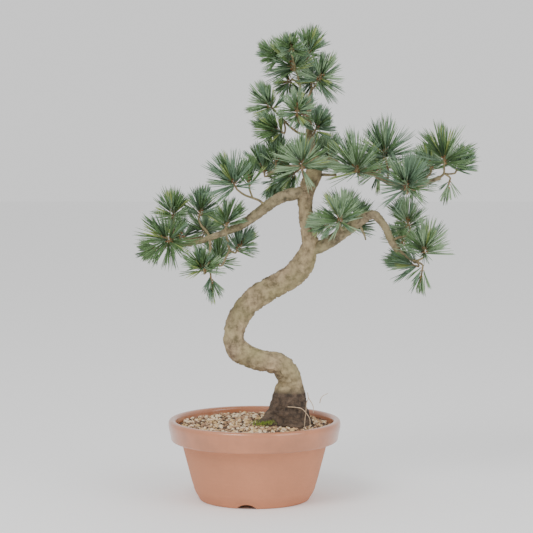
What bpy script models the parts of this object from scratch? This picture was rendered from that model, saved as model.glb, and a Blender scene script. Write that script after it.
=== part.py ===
"""A Japanese white pine trained as a bonsai, in a shallow round terracotta pot.

The tables are in millimetres from the point on the ground under the middle of the pot, with +Z up,
+X to the right and -Y towards the viewer. Meshes are in metres. At the end the whole plant is
shifted, so that the origin lies on the ground under the middle of its bounding box.
"""

import math
import random

import bmesh
import bpy
import numpy as np
from mathutils import Matrix, Vector

MM = 0.001
GAP = 0.3  # the clearance that touching solids keep

# The pot is turned, with a thick glazed band under a round lip.
POT_HEIGHT = 98.0
POT_SEGMENTS = 48
BAND_BOTTOM = 72.5
BAND_RADIUS = 102.0
LIP_RADIUS = 105.0
BODY_TOP_RADIUS = 89.5
BODY_FOOT_RADIUS = 74.0
FOOT_RADIUS = 67.0
FOOT_CHAMFER = 13.0
FOOT_RING_WIDTH = 12.0
FOOT_RECESS = 5.0
FLOOR_TOP = 11.0
WALL = 7.0
MOUTH_RADIUS = 95.5
DRAIN_RADIUS = 12.0
NOTCHES = 3
NOTCH_WIDTH = 25.0
NOTCH_HEIGHT = 5.7
NOTCH_TURN = math.radians(-97.8)  # the notch that the viewer sees, left of the front

# The soil fills the pot to just under the lip.
SOIL_TOP = 92.0
SOIL_SEGMENTS = 24
SOIL_RINGS = (92.0, 76.0, 58.0, 38.0, 16.0)
SOIL_LUMP = 1.1

# Limbs: one station is x, y, z and the diameter there. A smooth run passes through them.
TRUNK = (
    (43, -6, SOIL_TOP + GAP, 42),
    (42, -6, 119, 39),
    (43, -7, 134, 34),
    (44, -8, 143, 26.5),
    (39, -11, 157, 27),
    (29, -13, 167, 26),
    (9, -14, 171, 24),
    (-9, -12, 177, 25),
    (-21, -9, 186, 25),
    (-25, -5, 198, 23.5),
    (-20, 0, 219, 25),
    (-3, 5, 243, 26.5),
    (28, 8, 262, 26.5),
    (45, 8, 272, 27.5),
    (58, 7, 286, 28),
    (65, 4, 303, 21),
    (67, 0, 318, 18),
    (62, -4, 347, 16),
    (62, -3, 375, 17),
    (73, 5, 401, 18.5),
    (70, 10, 422, 10),
    (66, 12, 455, 6.2),
    (66, 10, 491, 4.2),
)
BOUGHS = {
    "left_bough": (
        "trunk",
        (
            (59, -3, 375, 15),
            (31, -6, 368, 13.5),
            (7, -11, 352, 12),
            (-8, -14, 341, 10.4),
            (-18, -16, 335, 9.6),
            (-44, -16, 324, 7.2),
            (-72, -9, 314, 5.8),
            (-93, -5, 311, 4.6),
        ),
    ),
    "upper_left_bough": (
        "trunk",
        ((70, 7, 406, 5.6), (43, 18, 404, 5.2), (28, 27, 400, 4.8), (17, 34, 394, 4.4)),
    ),
    "right_upper_bough": (
        "trunk",
        (
            (74, 5, 408, 16),
            (91, 2, 410, 14),
            (104, -2, 404, 10.6),
            (133, -9, 401, 7.4),
            (145, -8, 396, 7.2),
            (160, -5, 388, 6.6),
            (184, 4, 379, 6.2),
            (200, 7, 382, 5.8),
            (225, 10, 392, 4.8),
        ),
    ),
    "right_lower_bough": (
        "trunk",
        (
            (66, 4, 304, 16),
            (85, 0, 311, 15),
            (107, -8, 326, 13.2),
            (127, -17, 341, 12),
            (137, -20, 348, 11.2),
        ),
    ),
    "right_lower_bough_tip": (
        "right_lower_bough",
        (
            (137.4, -20.1, 348.3, 10.8),
            (145, -21, 348, 10),
            (157, -16, 334, 9),
            (165, -10, 316, 7.6),
            (177, -4, 301, 7.4),
            (186, 0, 294, 6.2),
        ),
    ),
    "right_spur": (
        "trunk",
        ((75, 3, 396, 3.8), (90, -1, 395.5, 3.6), (99, -3, 395.5, 3.2)),
    ),
    "dead_twig": (
        "right_lower_bough",
        ((124, -17, 340, 3), (131, -18, 327, 2.6), (134, -18, 318, 1.6)),
    ),
}
LIMB_STEP = 11.0  # the distance between rings along a limb
TRUNK_SIDES = 10
BOUGH_SIDES = 8
TWIG_SIDES = 6
BARK_LUMP = 0.06  # how far the bark swells, as a share of the radius

# The root flare: each surface root's turn round the trunk, its spread and its half width.
FLARE_HEIGHT = 13.0
FLARE_ROOTS = ((185, 24, 26), (300, 9, 34), (20, 8, 36), (105, 12, 32))

# Shoots: each bears a tuft of needles.
CORE_LENGTH = 12.0
CORE_SIDES = 6
CORE_RADII = (1.6, 2.7, 3.2, 3.0, 2.2)
NEEDLE_CLEARANCE = 0.35
NEEDLE_LENGTH_SPREAD = 0.12
NEEDLE_CUTS = (1.0, 0.8, 0.62)  # the lengths that are tried in turn, where a needle has little room
TIP_RADIUS = 0.15
NEEDLE_JITTER = math.radians(4)
TIP_LEAN = math.radians(12)
ARRIVAL_PULL = 0.9  # how far a twig's end gives way to its own run before it turns to its heading
NECK_LENGTH = 3.5
TWIG_STEP = 13.0
STEM_RADIUS = 2.1
SHOOT_RADIUS = 1.5

# A mass of foliage: the limb it grows from, where its stem leaves that limb, and its shoots. A shoot
# is the place where its needles begin, the way it points, how far its needles reach past that place,
# how far its rear needles lean back in degrees, and the share of its needles that it has.
FOLIAGE = {
    "foliage_apex_right": (
        "trunk",
        (66, 10, 493),
        (
            ((76, -2, 507), (0.45, -0.3, 0.85), 38, 115, 1.0),
            ((70, 32, 506), (0.1, 0.85, 0.5), 36, 90, 1.0),
        ),
    ),
    "foliage_apex_left": (
        "trunk",
        (66, 10, 484),
        (
            ((49, 0, 522), (-0.55, -0.15, 0.8), 44, 90, 1.0),
            ((65, 10, 539), (0.15, 0.2, 1.0), 34, 80, 1.0),
            ((30, 2, 534), (-0.8, 0.1, 0.6), 28, 85, 1.0),
            ((44, -26, 543), (-0.1, -0.7, 0.7), 26, 95, 1.0),
            ((44, 30, 509), (-0.35, 0.6, -0.3), 28, 80, 0.7),
            ((54, 38, 526), (0.0, 0.9, 0.45), 36, 85, 1.0),
        ),
    ),
    "foliage_middle_front": (
        "trunk",
        (66, 12, 450),
        (((51, -26, 468), (0.0, -0.5, 0.85), 32, 95, 1.0),),
    ),
    "foliage_middle_left": (
        "trunk",
        (67, 12, 442),
        (
            ((22, 8, 475), (-0.65, -0.1, 0.75), 35, 85, 1.0),
            ((33, -4, 447), (-0.85, -0.1, 0.4), 36, 75, 1.0),
        ),
    ),
    "foliage_middle_right": (
        "trunk",
        (67, 12, 440),
        (((73, -10, 449), (0.4, -0.2, 0.9), 29, 80, 1.0),),
    ),
    "foliage_middle_back": (
        "trunk",
        (66, 12, 460),
        (((60, 44, 464), (-0.1, 0.85, 0.5), 32, 85, 1.0),),
    ),
    "foliage_centre_front": (
        "trunk",
        (67, 0, 388),
        (((57, -44, 405), (-0.05, -0.45, 0.88), 44, 95, 1.0),),
    ),
    "foliage_centre_back": (
        "trunk",
        (71, 9, 417),
        (
            ((72, 42, 414), (0.1, 0.55, 0.8), 34, 80, 1.0),
            ((50, 32, 397), (-0.7, 0.3, -0.5), 34, 75, 0.8),
        ),
    ),
    "foliage_centre_left": (
        "upper_left_bough",
        (30, 26, 401),
        (
            ((26, 21, 409), (0.1, -0.1, 1.0), 36, 62, 0.9),
            ((36, 66, 404), (-0.1, 0.85, 0.45), 38, 80, 1.0),
        ),
    ),
    "foliage_upper_left": (
        "upper_left_bough",
        (17, 34, 394),
        (
            ((12, 37, 395), (-0.15, 0.1, 0.97), 37, 68, 0.9),
            ((24, 44, 386), (0.0, 0.35, -0.85), 26, 70, 0.8),
        ),
    ),
    "foliage_left_top": (
        "left_bough",
        (16, -9, 361),
        (
            ((-22, -42, 383), (-0.45, -0.3, 0.82), 44, 95, 1.0),
            ((-6, -22, 384), (0.0, 0.1, 1.0), 34, 40, 0.5),
        ),
    ),
    "foliage_left_middle": (
        "left_bough",
        (-34, -17, 328),
        (((-34, -28, 335), (0.2, -0.3, 0.9), 33, 80, 0.9),),
    ),
    "foliage_left_rise": (
        "left_bough",
        (-50, -15, 322),
        (((-67, 10, 345), (0.2, 0.2, 0.95), 34, 85, 1.0),),
    ),
    "foliage_left_end": (
        "left_bough",
        (-93, -5, 311),
        (
            ((-101, -8, 315), (-0.6, -0.5, 0.5), 45, 112, 1.0),
            ((-98, 8, 343), (-0.1, 0.1, 1.0), 35, 95, 1.0),
            ((-116, 6, 306), (-0.9, 0.3, -0.2), 26, 70, 0.6),
        ),
    ),
    "foliage_left_low_front": (
        "left_bough",
        (-52, -15, 321),
        (
            ((-60, -38, 282), (-0.15, -0.5, 0.8), 35, 95, 1.0),
            ((-52, -32, 276), (0.1, -0.1, -1.0), 28, 50, 0.25),
        ),
    ),
    "foliage_left_low_back": (
        "left_bough",
        (-30, -17, 329),
        (
            ((-21, -2, 304), (0.5, 0.0, 0.8), 32, 80, 1.0),
            ((-44, 28, 286), (-0.1, 0.4, 0.7), 34, 95, 1.0),
        ),
    ),
    "foliage_left_back": (
        "left_bough",
        (-68, -10, 315),
        (
            ((-62, 60, 322), (0.1, 0.9, 0.4), 38, 90, 1.0),
            ((-88, 46, 316), (-0.45, 0.75, 0.4), 38, 85, 1.0),
        ),
    ),
    "foliage_right_start": (
        "right_upper_bough",
        (91, 2, 410),
        (((91, 20, 416), (0.05, 0.3, 1.0), 30, 50, 0.8),),
    ),
    "foliage_right_front": (
        "right_upper_bough",
        (131, -9, 401),
        (((123, -36, 400), (-0.35, -0.3, 0.88), 50, 88, 1.0),),
    ),
    "foliage_right_high": (
        "right_upper_bough",
        (157, -6, 390),
        (((158, -12, 415), (-0.12, -0.1, 1.0), 48, 88, 1.0),),
    ),
    "foliage_right_middle": (
        "right_upper_bough",
        (186, 4, 379),
        (((181, -36, 380), (0.0, -0.45, 0.9), 48, 104, 1.0),),
    ),
    "foliage_right_middle_back": (
        "right_upper_bough",
        (196, 7, 381),
        (
            ((198, 66, 384), (0.15, 0.9, 0.4), 40, 85, 1.0),
            ((216, 42, 400), (-0.1, 0.35, 0.9), 36, 80, 1.0),
        ),
    ),
    "foliage_right_back": (
        "right_upper_bough",
        (139, -9, 399),
        (((154, 56, 398), (-0.1, 0.85, 0.5), 40, 88, 1.0),),
    ),
    "foliage_right_end": (
        "right_upper_bough",
        (225, 10, 392),
        (
            ((228, -8, 409), (-0.05, -0.15, 1.0), 49, 92, 1.0),
            ((245, 14, 400), (0.45, 0.1, 0.8), 31, 90, 1.0),
            ((236, 4, 388), (-0.25, -0.1, -1.0), 26, 40, 0.2),
        ),
    ),
    "foliage_low_front": (
        "right_lower_bough",
        (113, -11, 331),
        (
            ((101, -60, 341), (0.0, -0.45, 0.88), 43, 95, 1.0),
            ((91, -22, 335), (-0.85, 0.0, 0.2), 27, 80, 1.0),
        ),
    ),
    "foliage_low_right": (
        "right_lower_bough",
        (115, -12, 332),
        (((117, 4, 332), (0.5, 0.15, 0.8), 36, 75, 1.0),),
    ),
    "foliage_low_back": (
        "right_lower_bough",
        (104, -7, 324),
        (((110, 44, 345), (0.0, 0.85, 0.45), 38, 78, 1.0),),
    ),
    "foliage_end_high": (
        "right_lower_bough_tip",
        (163, -11, 320),
        (((188, 12, 331), (-0.25, 0.0, 0.95), 37, 85, 1.0),),
    ),
    "foliage_end_back": (
        "right_lower_bough_tip",
        (170, -7, 309),
        (((182, 46, 308), (0.1, 0.85, 0.45), 36, 85, 1.0),),
    ),
    "foliage_end": (
        "right_lower_bough_tip",
        (186, 0, 294),
        (
            ((204, -14, 300), (0.1, -0.3, 0.95), 43, 95, 1.0),
            ((196, 2, 285), (-0.95, -0.1, 0.25), 38, 55, 0.8),
            ((203, -8, 283), (-0.15, 0.0, -1.0), 30, 40, 0.25),
        ),
    ),
}

# Base colour, roughness
MATERIALS = {
    "pot_clay": ((0.60, 0.23, 0.12), 0.7),
    "soil": ((0.32, 0.20, 0.12), 0.95),
    "bark": ((0.36, 0.27, 0.16), 0.9),
    "needles": ((0.13, 0.24, 0.11), 0.6),
}


def clear_scene():
    """Takes every object out of the scene."""
    for thing in list(bpy.data.objects):
        bpy.data.objects.remove(thing)


def material(name):
    """The named material, made at its first use."""
    if name in bpy.data.materials:
        return bpy.data.materials[name]
    colour, roughness = MATERIALS[name]
    made = bpy.data.materials.new(name)
    made.use_nodes = True
    shader = made.node_tree.nodes["Principled BSDF"]
    shader.inputs["Base Color"].default_value = (*colour, 1.0)
    shader.inputs["Roughness"].default_value = roughness
    shader.inputs["Metallic"].default_value = 0.0
    return made


def add_object(name, bm, finish):
    """Makes an object of a mesh in millimetres, with its place in its vertices."""
    bmesh.ops.recalc_face_normals(bm, faces=bm.faces[:])
    bmesh.ops.scale(bm, vec=(MM, MM, MM), verts=bm.verts[:])
    mesh = bpy.data.meshes.new(name)
    bm.to_mesh(mesh)
    bm.free()
    thing = bpy.data.objects.new(name, mesh)
    thing.data.materials.append(material(finish))
    bpy.context.scene.collection.objects.link(thing)
    return thing


def combine(thing, operation, tools):
    """Applies one Boolean with a collection of tools, and removes the tools."""
    group = bpy.data.collections.new("tools")
    bpy.context.scene.collection.children.link(group)
    for tool in tools:
        bpy.context.scene.collection.objects.unlink(tool)
        group.objects.link(tool)
    step = thing.modifiers.new("combine", "BOOLEAN")
    step.operation = operation
    step.solver = "EXACT"
    step.operand_type = "COLLECTION"
    step.collection = group
    graph = bpy.context.evaluated_depsgraph_get()
    finished = bpy.data.meshes.new_from_object(thing.evaluated_get(graph))
    thing.modifiers.clear()
    finished.name = thing.name
    thing.data = finished
    for tool in tools:
        bpy.data.objects.remove(tool)
    bpy.data.collections.remove(group)


def turned(bm, profile, segments):
    """Spins a profile of radius and height round the upright axis."""
    points = [bm.verts.new((radius, 0.0, height)) for radius, height in profile]
    edges = [bm.edges.new(pair) for pair in zip(points, points[1:])]
    if profile[0][0] > 0.0:
        edges.append(bm.edges.new((points[-1], points[0])))
    bmesh.ops.spin(
        bm,
        geom=points + edges,
        cent=(0.0, 0.0, 0.0),
        axis=(0.0, 0.0, 1.0),
        angle=math.tau,
        steps=segments,
        use_merge=True,
    )
    bmesh.ops.remove_doubles(bm, verts=bm.verts[:], dist=0.01)


def inner_wall(height):
    """The radius of the pot's inner wall at a height."""
    slope = (BODY_TOP_RADIUS - BODY_FOOT_RADIUS) / (BAND_BOTTOM - FOOT_CHAMFER)
    return BODY_FOOT_RADIUS - WALL + slope * (height - FOOT_CHAMFER)


def make_pot():
    """The pot: a tapered body on a notched foot ring, with a thick band and a round lip."""
    ledge = BAND_BOTTOM - 8.0
    profile = (
        (FOOT_RADIUS - FOOT_RING_WIDTH, 0.0),
        (FOOT_RADIUS - 1.0, 0.0),
        (FOOT_RADIUS, 1.0),
        (BODY_FOOT_RADIUS, FOOT_CHAMFER),
        (BODY_TOP_RADIUS, BAND_BOTTOM - 0.5),
        (BAND_RADIUS - 1.5, BAND_BOTTOM),
        (BAND_RADIUS, BAND_BOTTOM + 2.0),
        (LIP_RADIUS, POT_HEIGHT - 7.5),
        (LIP_RADIUS - 0.4, POT_HEIGHT - 3.5),
        (LIP_RADIUS - 2.6, POT_HEIGHT - 0.8),
        (LIP_RADIUS - 5.0, POT_HEIGHT),
        (MOUTH_RADIUS + 1.8, POT_HEIGHT - 1.0),
        (MOUTH_RADIUS, POT_HEIGHT - 4.0),
        (MOUTH_RADIUS - 0.5, POT_HEIGHT - 10.0),
        (inner_wall(ledge), ledge),
        (inner_wall(FLOOR_TOP + 6.0), FLOOR_TOP + 6.0),
        (inner_wall(FLOOR_TOP) - 6.0, FLOOR_TOP),
        (DRAIN_RADIUS, FLOOR_TOP),
        (DRAIN_RADIUS, FOOT_RECESS),
        (FOOT_RADIUS - FOOT_RING_WIDTH - 1.0, FOOT_RECESS),
    )
    bm = bmesh.new()
    turned(bm, profile, POT_SEGMENTS)
    pot = add_object("pot", bm, "pot_clay")
    pot.data.shade_smooth()
    pot.data.set_sharp_from_angle(angle=math.radians(35))
    combine(pot, "DIFFERENCE", [notch_cutter(n) for n in range(NOTCHES)])
    return pot


def notch_cutter(number):
    """A lying cylinder that cuts one arched drainage notch through the foot ring."""
    radius = ((NOTCH_WIDTH / 2) ** 2 + NOTCH_HEIGHT**2) / (2 * NOTCH_HEIGHT)
    turn = NOTCH_TURN + number * math.tau / NOTCHES
    out = Vector((math.cos(turn), math.sin(turn), 0.0))
    middle = out * (FOOT_RADIUS - FOOT_RING_WIDTH / 2 + 2.0)
    middle.z = NOTCH_HEIGHT - radius
    lie_along = out.to_track_quat("Z", "Y").to_matrix().to_4x4()
    bm = bmesh.new()
    bmesh.ops.create_cone(
        bm,
        cap_ends=True,
        segments=32,
        radius1=radius,
        radius2=radius,
        depth=FOOT_RING_WIDTH + 18.0,
        matrix=Matrix.Translation(middle) @ lie_along,
    )
    return add_object("notch", bm, "pot_clay")


def make_soil():
    """The soil: a plug that fits the pot, with a lumpy top that is level under the trunk."""
    ledge = BAND_BOTTOM - 8.0
    profile = (
        (0.0, FLOOR_TOP + GAP),
        (inner_wall(FLOOR_TOP) - 7.0, FLOOR_TOP + GAP),
        (inner_wall(FLOOR_TOP + 6.0) - 0.6, FLOOR_TOP + 6.2),
        (inner_wall(ledge) - 0.6, ledge),
        (MOUTH_RADIUS - 1.2, POT_HEIGHT - 10.0),
        (MOUTH_RADIUS - 1.2, SOIL_TOP),
        *((radius, SOIL_TOP) for radius in SOIL_RINGS),
        (0.0, SOIL_TOP),
    )
    bm = bmesh.new()
    turned(bm, profile, SOIL_SEGMENTS)
    seeded = random.Random(11)
    foot = Vector(TRUNK[0][:2])
    for vert in bm.verts:
        away = (Vector(vert.co[:2]) - foot).length
        if vert.co.z > SOIL_TOP - 0.1 and away > 52.0:
            vert.co.z += seeded.uniform(-1.0, 0.6) * SOIL_LUMP
    return add_object("soil", bm, "soil")


def smooth_run(stations, step):
    """Points and radii along a smooth curve through the stations, about a step apart."""
    known = [np.array(s, float) for s in stations]
    known = [2 * known[0] - known[1], *known, 2 * known[-1] - known[-2]]
    run = []
    for before, start, end, after in zip(known, known[1:], known[2:], known[3:]):
        pieces = max(1, round(float(np.linalg.norm((end - start)[:3])) / step))
        for k in range(pieces):
            t = k / pieces
            run.append(
                0.5
                * (
                    2 * start
                    + (end - before) * t
                    + (2 * before - 5 * start + 4 * end - after) * t**2
                    + (3 * start - before - 3 * end + after) * t**3
                )
            )
    run.append(known[-2])
    return [Vector(p[:3]) for p in run], [float(p[3]) / 2 for p in run]


def ring_frames(points):
    """A placement for a ring at each point, square to the run and without spin about it."""
    along = []
    for k in range(len(points)):
        ahead, behind = points[min(k + 1, len(points) - 1)], points[max(k - 1, 0)]
        along.append((ahead - behind).normalized())
    side = along[0].orthogonal().normalized()
    frames = []
    for point, way in zip(points, along):
        side = (side - way * side.dot(way)).normalized()
        across = way.cross(side)
        turn = Matrix((side, across, way)).transposed().to_4x4()
        frames.append(Matrix.Translation(point) @ turn)
    return frames


def tube(bm, points, radii, sides, swell=None):
    """Rings bridged along the points and closed at both ends. Returns the rings."""
    rings = []
    fuller = math.sqrt(math.tau / sides / math.sin(math.tau / sides))  # as much area as a circle
    for number, (frame, radius) in enumerate(zip(ring_frames(points), radii)):
        made = bmesh.ops.create_circle(bm, segments=sides, radius=radius * fuller, matrix=frame)
        if swell:
            for side, vert in enumerate(made["verts"]):
                vert.co = swell(points[number], vert.co, number, side)
        rings.append(made["verts"])
    for near, far in zip(rings, rings[1:]):
        for side in range(sides):
            beside = (side + 1) % sides
            bm.faces.new((near[side], near[beside], far[beside], far[side]))
    bm.faces.new(reversed(rings[0]))
    bm.faces.new(rings[-1])
    return rings


def bark_swell(name, extra):
    """A rule that swells a limb's rings a little, the same way each time it is asked."""

    def swell(centre, place, number, side):
        seeded = random.Random(f"{name} {number} {side}")
        away = place - centre
        reach = away.length * (1.0 + BARK_LUMP * seeded.uniform(-1.0, 1.0)) + extra
        return centre + away.normalized() * reach

    return swell


def flare(bm):
    """Draws the foot of the trunk out into its surface roots, down to a level cut."""
    foot = Vector(TRUNK[0][:3])
    for vert in bm.verts:
        height = vert.co.z - foot.z
        if height > 4 * FLARE_HEIGHT:
            continue
        away = Vector((vert.co.x - foot.x, vert.co.y - foot.y, 0.0))
        turn = math.degrees(math.atan2(away.y, away.x)) % 360
        draw = 0.0
        for root_turn, spread, width in FLARE_ROOTS:
            off = abs((turn - root_turn + 180) % 360 - 180)
            draw += spread * math.exp(-((off / width) ** 2))
        vert.co += away.normalized() * draw * math.exp(-max(height, 0.0) / FLARE_HEIGHT)


def make_trunk(name, extra=0.0):
    """The trunk, whole from the soil to the tip of its leader, or swollen by extra."""
    points, radii = limb_run("trunk")
    bm = bmesh.new()
    rings = tube(bm, lengthened(points, extra), radii, TRUNK_SIDES, bark_swell("trunk", extra))
    for vert in rings[0]:
        vert.co.z = TRUNK[0][2]
    flare(bm)
    return add_object(name, bm, "bark")


def make_bough(name, own_name, extra=0.0):
    """A bough or twig by its name in the table, or swollen by extra."""
    points, radii = limb_run(name)
    sides = BOUGH_SIDES if radii[0] > 2.5 else TWIG_SIDES
    bm = bmesh.new()
    tube(bm, lengthened(points, extra), radii, sides, bark_swell(name, extra))
    return add_object(own_name, bm, "bark")


def lengthened(points, extra):
    """The run of points with both ends drawn out by extra."""
    first = points[0] + (points[0] - points[1]).normalized() * extra
    last = points[-1] + (points[-1] - points[-2]).normalized() * extra
    return [first, *points[1:-1], last]


def limb_run(name):
    """The centre line and radii of the trunk or of a bough."""
    stations = TRUNK if name == "trunk" else BOUGHS[name][1]
    return smooth_run(stations, LIMB_STEP)


def swollen_limb(name):
    """A cutter that keeps what grows on a limb clear of it."""
    if name == "trunk":
        return make_trunk("cutter", GAP)
    return make_bough(name, "cutter", GAP)


class Rods:
    """Tapered rods that stand for what has been placed, each with its owner's name."""

    def __init__(self):
        self.starts, self.ends, self.start_radii, self.end_radii, self.owners = [], [], [], [], []

    def add(self, start, end, start_radius, end_radius, owner):
        """Notes one more rod."""
        self.starts.append(tuple(start))
        self.ends.append(tuple(end))
        self.start_radii.append(start_radius)
        self.end_radii.append(end_radius)
        self.owners.append(owner)

    def add_run(self, points, radii, owner):
        """Notes a limb or twig, rod by rod."""
        for k in range(len(points) - 1):
            self.add(points[k], points[k + 1], radii[k], radii[k + 1], owner)

    def clearance(self, start, end, start_radius, end_radius, but=()):
        """The least distance from a new rod to the rods of every owner but those named."""
        keep = np.array([name not in but for name in self.owners])
        if not keep.any():
            return math.inf
        p, q = np.array(self.starts)[keep], np.array(self.ends)[keep]
        rp, rq = np.array(self.start_radii)[keep], np.array(self.end_radii)[keep]
        a, b = np.array(start), np.array(end)
        u, v, w = b - a, q - p, a - p
        uu, uv, vv = u @ u, v @ u, (v * v).sum(1)
        uw, vw = w @ u, (v * w).sum(1)
        spread = np.maximum(uu * vv - uv**2, 1e-9)
        s = np.clip((uv * vw - vv * uw) / spread, 0.0, 1.0)
        t = np.clip((uv * s + vw) / np.maximum(vv, 1e-9), 0.0, 1.0)
        s = np.clip((uv * t - uw) / uu, 0.0, 1.0)
        apart = np.linalg.norm(a + s[:, None] * u - p - t[:, None] * v, axis=1)
        own = start_radius + (end_radius - start_radius) * s
        return float((apart - own - rp - (rq - rp) * t).min())


def leave_limb(limb, place, base):
    """Where a stem starts inside its limb, which way it leaves, and how thick it may be there."""
    points, radii = limb_run(limb)
    nearest = min(range(len(points)), key=lambda k: (points[k] - Vector(place)).length)
    along = points[min(nearest + 1, len(points) - 1)] - points[max(nearest - 1, 0)]
    along.normalize()
    if nearest == len(points) - 1:
        return points[-1] - along, along, 0.9 * radii[-1]
    out = base - points[nearest]
    return points[nearest], (out - along * out.dot(along)).normalized(), 0.9 * radii[nearest]


def bend(start, start_way, end, end_way, pieces):
    """Points along a twig that leaves one way and arrives another."""
    pull = 0.36 * (end - start).length
    first, second = start + start_way * pull, end - end_way * pull
    run = []
    for k in range(pieces + 1):
        t = k / pieces
        run.append(
            start * (1 - t) ** 3
            + first * 3 * t * (1 - t) ** 2
            + second * 3 * t**2 * (1 - t)
            + end * t**3
        )
    return run


def plan_shoots(name):
    """The runs of a mass's twigs: its stem goes to the first shoot, and the others branch from it."""
    limb, place, shoots = FOLIAGE[name]
    seeded = random.Random(name)
    plans = []
    for number, (base, heading, reach, lean, share) in enumerate(shoots):
        base, heading = Vector(base), Vector(heading).normalized()
        if number == 0:
            origin, way, room = leave_limb(limb, place, base)
            radius = min(STEM_RADIUS, room)
        else:
            stem = plans[0]["points"]
            fork = nearest_fork(stem, base, seeded)
            origin, radius = stem[fork], SHOOT_RADIUS
            way = (base - origin).normalized()
        neck = base - heading * NECK_LENGTH
        pieces = max(2, round((neck - origin).length / TWIG_STEP))
        arrival = (heading + ARRIVAL_PULL * (neck - origin).normalized()).normalized()
        points = [*bend(origin, way, neck, arrival, pieces), base]
        radii = [radius + (SHOOT_RADIUS - radius) * k / pieces for k in range(pieces + 1)]
        radii.append(SHOOT_RADIUS)
        plans.append(
            {
                "points": points,
                "radii": radii,
                "heading": heading,
                "reach": reach,
                "lean": math.radians(lean),
                "share": share,
                "owner": f"{name} {number}",
            }
        )
    return plans


def nearest_fork(stem, base, seeded):
    """The place on a stem where a side shoot leaves it, some way back from its own tip."""
    last = max(1, len(stem) - 2)
    reach = [(base - point).length + 6.0 * seeded.random() for point in stem[: last + 1]]
    return max(1, reach.index(min(reach)))


def needle_way(plan, seeded, place, base):
    """The way a needle points that stands at a place on the core."""
    heading = plan["heading"]
    along = (place - base).dot(heading)
    out = (place - base - heading * along).normalized()
    share = min(1.0, max(0.0, along / CORE_LENGTH))
    lean = TIP_LEAN + (plan["lean"] - TIP_LEAN) * (1.0 - share) ** 0.8
    lean += seeded.uniform(-1.0, 1.0) * NEEDLE_JITTER
    return (heading * math.cos(lean) + out * math.sin(lean)).normalized()


def grow_shoot(plan, rods):
    """A twig that ends in a slim core, with faces of the core drawn out into needles."""
    seeded = random.Random(plan["owner"])
    base, heading = plan["points"][-1], plan["heading"]
    step = CORE_LENGTH / (len(CORE_RADII) - 1)
    points = plan["points"][:-1] + [base + heading * step * k for k in range(len(CORE_RADII))]
    radii = plan["radii"][:-1] + list(CORE_RADII)
    bm = bmesh.new()
    rings = tube(bm, points, radii, CORE_SIDES)
    first = len(plan["points"]) - 1
    core = {vert for ring in rings[first:] for vert in ring}
    tip = bmesh.ops.poke(bm, faces=[f for f in bm.faces if set(f.verts) == set(rings[-1])])
    tip["verts"][0].co = base + heading * (CORE_LENGTH + CORE_RADII[-1] * 0.8)
    core.update(tip["verts"])
    bm.normal_update()
    quads = [f for f in bm.faces if core.issuperset(f.verts) and len(f.verts) == 4]
    bmesh.ops.triangulate(bm, faces=quads)
    for face in [f for f in bm.faces if core.issuperset(f.verts) and len(f.verts) == 3]:
        grow_needle(bm, face, plan, base, seeded, rods)
    return add_object(plan["owner"], bm, "needles")


def grow_needle(bm, face, plan, base, seeded, rods):
    """Draws one face of the core out into a needle, unless it would meet something."""
    place = face.calc_center_median()
    way = needle_way(plan, seeded, place, base)
    length = (plan["reach"] - 0.6 * CORE_LENGTH) * (1.0 + NEEDLE_LENGTH_SPREAD * seeded.uniform(-1, 1))
    if seeded.random() > plan["share"]:
        return
    root = math.sqrt(face.calc_area()) * 0.6
    own, twig = plan["owner"], plan["owner"] + " twig"
    for part in NEEDLE_CUTS:
        end = place + way * length * part
        beyond = place + way * length * 0.3
        room = rods.clearance(place, end, root, TIP_RADIUS, but=(own, twig))
        twig_room = rods.clearance(beyond, end, 0.7 * root, TIP_RADIUS, but=(own,))
        if min(room, twig_room) > NEEDLE_CLEARANCE:
            made = bmesh.ops.poke(bm, faces=[face])
            made["verts"][0].co = end
            rods.add(place, end, root, TIP_RADIUS, own)
            return


def make_foliage():
    """Every mass: its twigs are all laid out first, then its needles find their room."""
    rods = Rods()
    for limb in ("trunk", *BOUGHS):
        rods.add_run(*limb_run(limb), limb)
    plans = {name: plan_shoots(name) for name in FOLIAGE}
    for shoots in plans.values():
        for plan in shoots:
            rods.add_run(plan["points"], plan["radii"], plan["owner"] + " twig")
            end = plan["points"][-1] + plan["heading"] * CORE_LENGTH
            rods.add(plan["points"][-1], end, CORE_RADII[2], CORE_RADII[-1], plan["owner"])
    for name, shoots in plans.items():
        grown = [grow_shoot(plan, rods) for plan in shoots]
        mass = grown[0]
        mass.name = name
        if len(grown) > 1:
            combine(mass, "UNION", grown[1:])
        combine(mass, "DIFFERENCE", [swollen_limb(FOLIAGE[name][0])])


def make_limbs():
    """The trunk and its boughs, each cut clear of the limb that bears it."""
    make_trunk("trunk")
    for name, (bearer, _) in BOUGHS.items():
        bough = make_bough(name, name)
        combine(bough, "DIFFERENCE", [swollen_limb(bearer)])


def stand_over_origin():
    """Shifts everything so that the middle of the bounding box is over the origin."""
    corners = [vert.co for thing in bpy.data.objects for vert in thing.data.vertices]
    low = Vector([min(co[k] for co in corners) for k in range(3)])
    high = Vector([max(co[k] for co in corners) for k in range(3)])
    shift = Vector((-(low.x + high.x) / 2, -(low.y + high.y) / 2, -low.z))
    for thing in bpy.data.objects:
        thing.data.transform(Matrix.Translation(shift))


def main():
    """Builds the plant and its pot."""
    clear_scene()
    make_pot()
    make_soil()
    make_limbs()
    make_foliage()
    stand_over_origin()


main()
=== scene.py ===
"""The looks of a potted Japanese white pine bonsai: fired clay, granular soil, flaky bark and needles.

Tables are in millimetres from the point on the ground under the middle of the pot, with +Z up, +X to
the right and -Y towards the viewer. Meshes are in metres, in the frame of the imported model.
"""

import math
import random

import bmesh
import bpy
import numpy as np
from mathutils import Matrix, Vector, noise


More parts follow.
